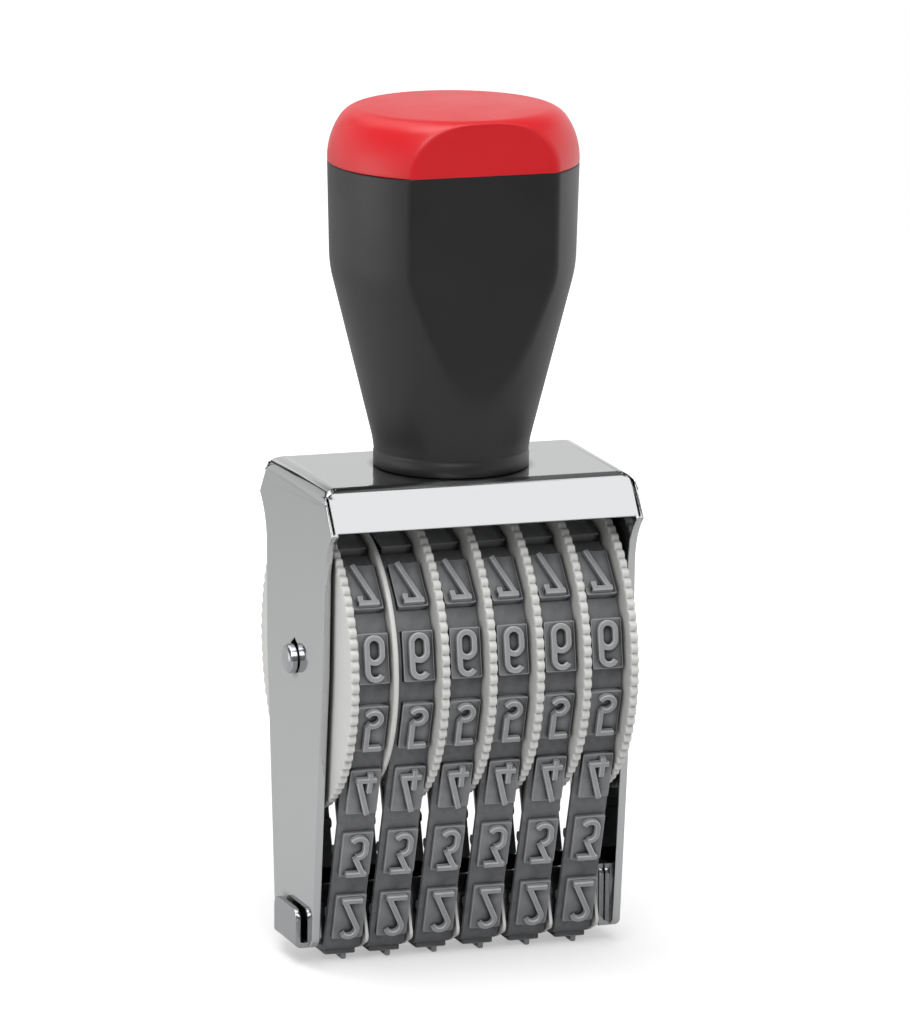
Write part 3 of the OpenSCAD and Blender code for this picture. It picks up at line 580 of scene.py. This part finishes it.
class NUMBERSTAMP_OT_metal(bpy.types.Operator):
    """Rounds the housing, the bridge and the small steel parts, and gives them their metal"""
    bl_idname = "number_stamp.metal"
    bl_label = "Sheet metal"

    def execute(self, context):
        s = context.scene.number_stamp_metal
        self.bend_aprons(s, dress("frame", chromed_steel(s.chrome), s.edge))
        dress("bridge", plated_steel(s.nickel), s.edge / 2)
        steel = turned_steel(s.steel)
        for node in ("spacer_left", "spacer_right", "screw_washer", "handle_screw"):
            dress(node, steel, s.edge / 2)
        dress("handle_insert", machined_brass(s.brass), s.edge / 2)
        self.add_axle(s, steel)
        return {"FINISHED"}

    def bend_aprons(self, s, housing):
        """Rounds the bends between the top and the aprons: weighs those edges by their place, then bevels them."""
        group = bpy.data.node_groups.new("apron_edges", "GeometryNodeTree")
        for way in ("INPUT", "OUTPUT"):
            group.interface.new_socket("Geometry", in_out=way, socket_type="NodeSocketGeometry")
        at = add_node(group, "ShaderNodeSeparateXYZ", {0: add_node(group, "GeometryNodeInputPosition").outputs[0]})
        value = dict(zip("xyz", at.outputs))
        fold_x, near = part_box("frame")[1].x - s.fold_r, 0.03 * MM
        # an edge of the bend lies on the apron's plane and on the fold at the top's end, along which the bend narrows
        for name, operation, *inputs in (
                ("depth", "ABSOLUTE", "y"), ("out", "SUBTRACT", "depth", s.top_d / 2),
                ("fall", "MULTIPLY", "out", s.apron_drop / s.apron_run), ("down", "SUBTRACT", FRAME_TOP, "z"),
                ("off_apron", "SUBTRACT", "fall", "down"), ("on_apron", "COMPARE", "off_apron", 0.0, near),
                ("width", "ABSOLUTE", "x"), ("over", "SUBTRACT", "width", fold_x), ("past", "MAXIMUM", "over", 0.0),
                ("past_squared", "MULTIPLY", "past", "past"), ("rise", "SUBTRACT", s.fold_r, "down"),
                ("squares", "MULTIPLY_ADD", "rise", "rise", "past_squared"), ("reach", "SQRT", "squares"),
                ("off_fold", "SUBTRACT", "reach", s.fold_r), ("on_fold", "COMPARE", "off_fold", 0.0, near),
                ("on_bend", "MULTIPLY", "on_apron", "on_fold"),
                ("share", "MULTIPLY_ADD", "past", -0.85 / s.fold_r, 1.0), ("weight", "MULTIPLY", "on_bend", "share")):
            sockets = {i: value.get(key, key) for i, key in enumerate(inputs)}
            value[name] = add_node(group, "ShaderNodeMath", sockets, operation=operation).outputs[0]
        weighed = add_node(group, "GeometryNodeStoreNamedAttribute",
                           {"Geometry": add_node(group, "NodeGroupInput").outputs[0], "Name": "bevel_weight_edge",
                            "Value": value["weight"]}, data_type="FLOAT", domain="EDGE")
        add_node(group, "NodeGroupOutput", {0: weighed.outputs[0]})
        add_modifier(housing, "apron_edges", "NODES", node_group=group)
        add_modifier(housing, "apron_bends", "BEVEL", width=s.apron_bend, segments=8, limit_method="WEIGHT",
                     use_clamp_overlap=False)
        for place, name in enumerate(("weld", "flat", "apron_edges", "apron_bends", "edges")):
            housing.modifiers.move(housing.modifiers.find(name), place)

    def add_axle(self, s, steel):
        """A bar with two grooves for the side plates and two domed ends."""
        low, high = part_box("axle")
        radius, end = (high.z - low.z) / 2, high.x
        half_sheet, lead_in, chamfer = 0.6 * MM, 0.1 * MM, 0.08 * MM
        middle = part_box("frame")[1].x - half_sheet
        groove = (middle - s.groove_w / 2, middle + s.groove_w / 2)
        half = [(radius, 0.0), (radius, groove[0] - lead_in), (s.groove_r, groove[0]), (s.groove_r, groove[1]),
                (radius - chamfer, groove[1]), (radius, groove[1] + chamfer)]
        half += [*arc(radius - s.dome, end - s.dome, s.dome, 0, 90, 8), (0.0, end)]
        profile = [(r, -x) for r, x in reversed(half[1:])] + half
        shape = Shape()
        shape.add(*spun(profile, 64, about_x, closed=False))
        add_piece("axle_turned", shape.mesh("axle_turned", [steel], sharp=40), "stamp", "axle_steel", "axle")


class NUMBERSTAMP_OT_guides(bpy.types.Operator):
    """Rounds the thin guides between the bands and gives them their plastic"""
    bl_idname = "number_stamp.guides"
    bl_label = "Band guides"

    def execute(self, context):
        plastic = moulded_acetal("moulded_guide_plastic", context.scene.number_stamp_wheels.plastic)
        dress("band_guides", plastic, 0.1 * MM)
        return {"FINISHED"}


class NUMBERSTAMP_OT_wheels(bpy.types.Operator):
    """Builds the six thumb wheels with their rounded teeth, drums and cog pockets"""
    bl_idname = "number_stamp.wheels"
    bl_label = "Thumb wheels"

    def execute(self, context):
        s = context.scene.number_stamp_wheels
        bands = context.scene.number_stamp_bands
        plastic = moulded_acetal("moulded_wheel_plastic", s.plastic)
        meshes = {}
        for k in WHEELS:
            low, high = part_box("wheel_%d" % k)
            kind = "first" if k == 1 else "other"
            if kind not in meshes:
                shape = self.wheel(s, bands, high.x - low.x, k == 1)
                meshes[kind] = shape.mesh("thumb_wheel_" + kind, [plastic], sharp=38)
            add_piece("thumb_wheel_%d_moulded" % k, meshes[kind], "thumb_wheel_%d" % k, "wheel_plastic",
                      "wheel_%d" % k, at=(low.x, 0, 0))
        return {"FINISHED"}

    def wheel(self, s, bands, width, first):
        """A wheel from x = 0 to its width. The first has its toothed flange on the left, and the only smooth one."""
        side = (lambda x: x) if first else (lambda x: width - x)
        drum_r = bands.inner_r - DRUM_CLEAR
        pocket_r = bands.cog_r + bands.cog_clear

        def plain(r, h, angle):
            return about_x(r, side(h), angle)

        def toothed(r, h, angle):
            if r > WHEEL_R - s.round_r - 1e-6:
                r -= s.tooth_depth * (1 - abs(math.cos(s.teeth * angle / 2)))
            return plain(r, h, angle)

        shape = Shape()
        shape.add(*spun(rounded_ring(s.bore_r, WHEEL_R, 0, s.toothed_t, s.round_r), s.teeth * 8, toothed))
        shape.add(*spun(rounded_ring(s.bore_r, s.hub_r, 0, width, 0.2 * MM), 72, plain))
        if first:
            root = drum_r - pocket_r - 0.2 * MM
            shape.add(*spun(rounded_ring(root, s.smooth_r, width - s.smooth_t, width, s.round_r), 240, plain))
        # the first wheel's drum ends inside its smooth flange
        end = width - (0.02 * MM if first else 0)
        shape.add(*self.drum(s, bands, drum_r, pocket_r, s.toothed_t / 2, end, side))
        return shape

    def drum(self, s, bands, drum_r, pocket_r, start, end, side):
        """The drum, with its pockets for the band's cogs and a softened edge at its end."""
        half = math.acos((drum_r ** 2 + bands.inner_r ** 2 - pocket_r ** 2) / (2 * drum_r * bands.inner_r))
        outline = []
        for i in range(POCKETS):
            middle = FRONT - bands.pocket_angle + TAU * i / POCKETS
            centre = Vector((bands.inner_r * math.cos(middle), bands.inner_r * math.sin(middle)))
            rim = Vector((drum_r * math.cos(middle - half), drum_r * math.sin(middle - half))) - centre
            turn = math.atan2(rim.y, rim.x) - middle
            turn -= TAU * round(turn / TAU)
            pocket = [math.degrees(angle) for angle in (middle + turn, middle - turn - TAU)]
            land = [math.degrees(angle) for angle in (middle + half, middle - half + TAU / POCKETS)]
            outline += arc(*centre, pocket_r, *pocket, 12) + arc(0, 0, drum_r, *land, 10)[1:-1]
        outline = [Vector(point) for point in outline]
        inner_r, soft = drum_r - pocket_r - s.rim_t, 0.12 * MM
        inner = [p.normalized() * inner_r for p in outline]
        drawn_in = [p - p.normalized() * soft for p in outline]
        rings = ((start, outline), (end - soft, outline), (end, drawn_in), (end, inner), (start, inner))
        points = [(side(x), p.x, AXLE_Z + p.y) for x, ring in rings for p in ring]
        return points, quads(len(rings), len(outline), rows_meet=False)


class NUMBERSTAMP_OT_bands(bpy.types.Operator):
    """Builds the six endless rubber bands with their pads, raised digits and inner cogs"""
    bl_idname = "number_stamp.bands"
    bl_label = "Digit bands"

    def execute(self, context):
        s = context.scene.number_stamp_bands
        materials = [
            moulded_rubber("moulded_belt_rubber", s.rubber, s.pad, 0.55),
            # the pads' rubber gets painted shade in its corners and in the digits' counters
            moulded_rubber("moulded_pad_rubber", s.pad, s.rubber, 0.6, nook_shade=0.95),
            moulded_rubber("moulded_digit_rubber", s.face, s.pad, 0.62),
            # the digits' rounded edges: a painted highlight
            moulded_rubber("edge_highlight_rubber", s.edge_highlight, s.face, 0.6),
        ]
        low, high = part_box("band_1")
        mesh = self.band(s, high.x - low.x).mesh("digit_band", materials, sharp=32)
        for k in WHEELS:
            low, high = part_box("band_%d" % k)
            add_piece("digit_band_%d" % k, mesh, "stamp", "band_rubber", "band_%d" % k,
                      at=((low.x + high.x) / 2, 0, 0))
        return {"FINISHED"}

    def band(self, s, width):
        """A band about x = 0."""
        path = BandPath(s)
        shape = Shape()
        self.add_belt(shape, s, path, width)
        for digit, along in zip(PAD_DIGITS, path.pads()):
            y, z, angle = path.place(along)

            def stand(point, shift=0, y=y, z=z, cos=math.cos(angle), sin=math.sin(angle)):
                """From (across, along the belt, above its inner face) to the band's place."""
                x, v, up = point
                return (x + shift, y + v * sin + up * cos, z - v * cos + up * sin)

            self.add_pad(shape, s, stand)
            self.add_cog(shape, s, stand, width)
            if digit is not None:
                self.add_digit(shape, s, stand, digit)
        return shape

    def add_belt(self, shape, s, path, width):
        """The endless belt, with rounded edges."""
        section = [(x, s.belt_t / 2 + up) for x, up in rounded_box(width, s.belt_t, s.edge, 2)]
        points = []
        for along in path.stops():
            y, z, angle = path.place(along)
            points += [(x, y + up * math.cos(angle), z + up * math.sin(angle)) for x, up in section]
        shape.add(points, quads(len(points) // len(section), len(section)), BELT)

    def add_pad(self, shape, s, stand):
        """A pad with a rounded top edge."""
        top, e = s.belt_t + s.pad_t, s.edge
        root = s.belt_t - 0.35 * MM
        levels = [(root, 0), (top - e, 0), (top - 0.3 * e, 0.3 * e), (top, e)]
        points, faces, cap = slab_rings(s.pad_w, s.pad_len, levels)
        points = [stand(point, s.pad_shift) for point in points]
        ring = len(faces) // (len(levels) - 1)
        # the rounded top edge takes the lighter digit-face colour, a painted highlight
        shape.add(points, faces[:ring] + [cap], PAD, faces[ring:], FACE)

    def add_cog(self, shape, s, stand, width):
        """A round cog across the belt's inner face."""
        # its ends lie just inside the belt's edges, so that no two faces fall together
        steps, half = 20, width / 2 - 0.02 * MM
        ends = [[stand((x, s.cog_r * math.cos(TAU * i / steps), s.cog_r * math.sin(TAU * i / steps)))
                 for i in range(steps)] for x in (-half, half)]
        caps = [tuple(range(steps)), tuple(range(steps, 2 * steps))]
        shape.add(ends[0] + ends[1], quads(2, steps, rows_meet=False) + caps, BELT)

    def add_digit(self, shape, s, stand, number):
        """A raised digit, mirrored so that it prints the right way round."""
        h, e = s.stroke / 2, s.edge
        pad_top, step = s.belt_t + s.pad_t, 0.012 * MM
        low = pad_top - 0.2 * MM
        a, b = (s.digit_w - s.stroke) / 2, (s.digit_h - s.stroke) / 2
        for i, (points, closed) in enumerate(digit_strokes(number, a, b, h)):
            # each stroke ends a little below the last one, so that no two faces fall together
            top = pad_top + s.relief - step * i
            profile = [(-h, low), (-h, top - e), (e - h, top), (h - e, top), (h, top - e), (h, low)]
            shell, faces = stroke_shell(points, closed, profile)
            shell = [stand((x, -y, z), s.pad_shift) for x, y, z in shell]
            ends = [] if closed else faces[-2:]
            sweep = faces if closed else faces[:-2]
            # a stroke's faces go round it as side, edge, face, edge, side
            # the two rounded edges take the lighter colour, a painted highlight
            plain = [face for k, face in enumerate(sweep) if k % 5 in (0, 2, 4)]
            shape.add(shell, plain + ends, FACE, [face for k, face in enumerate(sweep) if k % 5 in (1, 3)], EDGE_HIGHLIGHT)


class NUMBERSTAMP_OT_handle(bpy.types.Operator):
    """Builds the black handle with its two facets and the red cap"""
    bl_idname = "number_stamp.handle"
    bl_label = "Handle and cap"

    def execute(self, context):
        s = context.scene.number_stamp_handle
        # 0.28 mm grain, 8 microns deep
        black = grained_abs("grained_black_abs", s.black, 0.42, 1.54, 0.28 * MM, 0.008 * MM)
        red = grained_abs("grained_red_abs", s.red, 0.36, 1.54, 0.28 * MM, 0.006 * MM)
        for name, profile, material, slot, node in (
                ("handle_moulded", self.body_profile(s), black, "handle_plastic", "handle_body"),
                ("cap_moulded", self.cap_profile(s), red, "cap_plastic", "handle_cap")):
            shape, steps = Shape(), 400
            shape.add(*spun(profile, steps, lambda r, z, angle: self.faceted(s, r, z, angle), closed=False))
            add_piece(name, shape.mesh(name, [material], sharp=50), "stamp", slot, node)
        return {"FINISHED"}

    def faceted(self, s, r, z, angle):
        """Puts a point of the turned outline, drawn in softly where it would pass a leaning facet."""
        side = abs(math.sin(angle))
        # near the X axis no facet comes close
        if side > 0.05:
            flat = (s.facet_y + (z - SEAM_Z) * math.tan(s.facet_lean)) / side
            share = min(max(0.5 + 0.5 * (flat - r) / s.facet_soft, 0), 1)
            r = flat * (1 - share) + r * share - s.facet_soft * share * (1 - share)
        return (r * math.cos(angle), r * math.sin(angle), z)

    def body_radius(self, s, h):
        """Radius of the handle at a height above the frame, before its turns are softened."""
        if h < s.neck_h:
            return s.neck_r
        if h < s.grip_h:
            return s.neck_r + (s.grip_r - s.neck_r) * (h - s.neck_h) / (s.grip_h - s.neck_h)
        return s.grip_r + (s.seam_r - s.grip_r) * (h - s.grip_h) / (SEAM_Z - FRAME_TOP - s.grip_h)

    def body_profile(self, s):
        """Outline of the handle from its foot to the seam."""
        foot, ring = FRAME_TOP, s.neck_r + s.ring_out
        bore_r, soft = 3.35 * MM, 0.15 * MM
        outline = [(bore_r, foot), (ring - soft, foot), (ring, foot + soft),
                   (ring, foot + s.ring_h - 0.1 * MM), (s.neck_r, foot + s.ring_h + 0.05 * MM)]
        reach, steps = SEAM_Z - FRAME_TOP, 90
        for i in range(1, steps):
            h = s.ring_h + (reach - s.seam - s.ring_h) * i / steps
            near = [self.body_radius(s, h + s.taper_soft * j / 6) for j in range(-6, 7)]
            outline.append((sum(near) / len(near), foot + h))
        outline += arc(s.seam_r - s.seam, SEAM_Z - s.seam, s.seam, 0, 90, 4)
        return outline + [(INSIDE_R, SEAM_Z), (0.0, SEAM_Z)]

    def cap_profile(self, s):
        """Outline of the cap from the seam to the middle of its top."""
        outline = [(0.0, SEAM_Z), (INSIDE_R, SEAM_Z), *arc(s.seam_r - s.seam, SEAM_Z + s.seam, s.seam, -90, 0, 4)]
        side = Vector((s.seam_r - s.side_r, SEAM_Z + s.side_h))
        edge_z = TOP_Z - s.dome - s.edge_r
        turn = math.asin((edge_z - side.y) / (s.side_r - s.edge_r))
        edge = side + Vector((math.cos(turn), math.sin(turn))) * (s.side_r - s.edge_r)
        turn, last = math.degrees(turn), 90 - math.degrees(math.atan2(s.dome, edge.x))
        outline += arc(*side, s.side_r, 0, turn, 16) + arc(*edge, s.edge_r, turn, last, 24)[1:]
        (r, z), steps = outline[-1], 16
        shares = [1 - i / steps for i in range(1, steps + 1)]
        return outline + [(r * share, z + (TOP_Z - z) * (1 - share ** 2)) for share in shares]


class NUMBERSTAMP_OT_stage(bpy.types.Operator):
    """Sets the floor, the lamps, the world and the camera"""
    bl_idname = "number_stamp.stage"
    bl_label = "Stage"

    def execute(self, context):
        s = context.scene.number_stamp_stage
        self.add_floor(s)
        self.add_world(context.scene, s)
        # a sloping apron mirrors one of these two to a camera in front or behind
        self.add_lamp("overhead_lamp_front", (0.25, -0.36, 0.73), 0.5, s.overhead)
        self.add_lamp("overhead_lamp_rear", (-0.2, 0.42, 0.74), 0.5, s.overhead)
        self.add_lamp("front_lamp", (-0.3, -0.8, 0.85), 0.6, s.front)
        self.add_lamp("key_lamp", (-0.1, -0.05, 0.92), 0.5, s.key)
        self.add_lamp("left_lamp", (-0.38, 0.02, 0.05), 0.25, s.left)
        self.add_camera(context.scene)
        context.scene.view_settings.view_transform = "Standard"
        return {"FINISHED"}

    def add_floor(self, s):
        """A pale floor that runs far back and ends close in front, and that the camera sees as white."""
        mesh = bpy.data.meshes.new("floor")
        side, front, rear = 0.28, -0.25, 0.9
        mesh.from_pydata([(-side, front, 0), (side, front, 0), (side, rear, 0), (-side, rear, 0)], [], [(0, 1, 2, 3)])
        floor = add_object("floor", mesh)
        material, tree, shader, where = surface("matt_paper_floor", s.floor, roughness=0.9)
        grained(tree, shader, where, 0.6 * MM, 0.01 * MM)
        shader.inputs["Emission Color"].default_value = (1, 1, 1, 1)
        # the lift to white is weaker round the stamp, so that its shadow stays
        away = add_node(tree, "ShaderNodeVectorMath", {0: where}, operation="LENGTH")
        level = add_node(tree, "ShaderNodeMapRange", {"Value": away.outputs["Value"], "From Min": 0.05,
                                                      "From Max": 0.22, "To Min": 0.42, "To Max": 0.75})
        lift = add_node(tree, "ShaderNodeMath", {0: add_node(tree, "ShaderNodeLightPath").outputs["Is Camera Ray"],
                                                 1: level.outputs["Result"]}, operation="MULTIPLY")
        tree.links.new(lift.outputs["Value"], shader.inputs["Emission Strength"])
        mesh.materials.append(material)

    def add_world(self, scene, s):
        """A room that is dark in front and low down, with two bright sheets at the rear, and white to the camera."""
        world = bpy.data.worlds.new("white_room")
        scene.world = world
        world.use_nodes = True
        tree = world.node_tree
        back = tree.nodes["Background"]
        way = add_node(tree, "ShaderNodeSeparateXYZ", {0: add_node(tree, "ShaderNodeTexCoord").outputs["Generated"]})
        value = dict(zip("xyz", way.outputs))
        for name, by, start, end, first, last in (
                ("front", "z", -0.12, 0.0, s.front_low, s.front_high),
                ("depth", "y", -0.7, 0.8, "front", s.rear),
                ("side", "z", -0.2, 0.6, s.sides, 0.0),
                # above the sheets the ceiling is dark
                ("height", "z", 0.38, 0.5, 1.0, 0.3),
                ("across", "x", -1.0, 1.0, 0.0, 1.0)):
            value[name] = add_node(tree, "ShaderNodeMapRange", {
                "Value": value[by], "From Min": start, "From Max": end, "To Min": value.get(first, first),
                "To Max": last}).outputs["Result"]
        # the two sheets have a dark gap between them, and the left one is less bright
        sheets = add_node(tree, "ShaderNodeValToRGB", {"Fac": value["across"]})
        stops = sheets.color_ramp.elements
        stops[0].color = (0.8, 0.8, 0.8, 1)
        for x, level in ((-0.2, 0.8), (-0.19, 0.03), (-0.12, 0.03), (-0.11, 1.4), (0.0, 1.0)):
            stops.new((x + 1) / 2).color = (level, level, level, 1)
        value["sheets"] = sheets.outputs["Color"]
        for name, operation, *inputs in (
                ("sheet", "MULTIPLY", "height", "sheets"),
                ("rear", "MULTIPLY", "depth", "sheet"),
                ("sideways", "MULTIPLY", "x", "x"),
                ("room", "MULTIPLY_ADD", "sideways", "side", "rear")):
            sockets = {i: value[key] for i, key in enumerate(inputs)}
            value[name] = add_node(tree, "ShaderNodeMath", sockets, operation=operation).outputs["Value"]
        light = add_node(tree, "ShaderNodeMix",
                         {"Factor": add_node(tree, "ShaderNodeLightPath").outputs["Is Camera Ray"],
                          "A": value["room"], "B": 1.0})
        back.inputs["Color"].default_value = (1, 1, 1, 1)
        tree.links.new(light.outputs["Result"], back.inputs["Strength"])

    def add_lamp(self, name, place, size, power):
        """A square soft lamp that faces the object."""
        data = bpy.data.lights.new(name, "AREA")
        data.size, data.energy = size, power
        lamp, middle = add_object(name, data, place), Vector((0, 0, 0.06))
        lamp.rotation_euler = (middle - lamp.location).to_track_quat("-Z", "Y").to_euler()

    def add_camera(self, scene):
        """A long lens from the front left and a little above."""
        data = bpy.data.cameras.new("camera")
        data.lens = 326.68
        across, down, roll = math.radians(18.59), math.radians(11.91), math.radians(0.46)
        aim, distance = Vector((0.69 * MM, 0, 65.65 * MM)), 1.36726
        way = Vector((math.sin(across) * math.cos(down), math.cos(across) * math.cos(down), -math.sin(down)))
        camera = add_object("camera", data, aim - way * distance)
        camera.rotation_mode = "QUATERNION"
        camera.rotation_quaternion = way.to_track_quat("-Z", "Y") @ Quaternion((0, 0, 1), roll)
        scene.camera = camera


STEPS = (NUMBERSTAMP_OT_metal, NUMBERSTAMP_OT_guides, NUMBERSTAMP_OT_wheels, NUMBERSTAMP_OT_bands,
         NUMBERSTAMP_OT_handle, NUMBERSTAMP_OT_stage)


class NUMBERSTAMP_PT_panel(bpy.types.Panel):
    """Lists the steps and their settings"""
    bl_idname = "NUMBERSTAMP_PT_panel"
    bl_label = "Number stamp"
    bl_space_type = "VIEW_3D"
    bl_region_type = "UI"
    bl_category = "Number Stamp"

    def draw(self, context):
        for step in STEPS:
            self.layout.operator(step.bl_idname)
        for name in GROUPS:
            box = self.layout.box()
            box.label(text=name.replace("number_stamp_", "").capitalize())
            group = getattr(context.scene, name)
            for key in group.bl_rna.properties.keys():
                if key not in ("rna_type", "name"):
                    box.prop(group, key)


CLASSES = (*GROUPS.values(), *STEPS, NUMBERSTAMP_PT_panel)


def register():
    """Registers the settings, the operators and the panel."""
    for item in CLASSES:
        bpy.utils.register_class(item)
    for name, group in GROUPS.items():
        setattr(bpy.types.Scene, name, PointerProperty(type=group))


def unregister():
    """Takes them away again."""
    for name in GROUPS:
        delattr(bpy.types.Scene, name)
    for item in reversed(CLASSES):
        bpy.utils.unregister_class(item)


def main():
    """Registers the add-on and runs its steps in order."""
    register()
    bpy.ops.number_stamp.metal()
    bpy.ops.number_stamp.guides()
    bpy.ops.number_stamp.wheels()
    bpy.ops.number_stamp.bands()
    bpy.ops.number_stamp.handle()
    bpy.ops.number_stamp.stage()


if __name__ == "__main__":
    main()
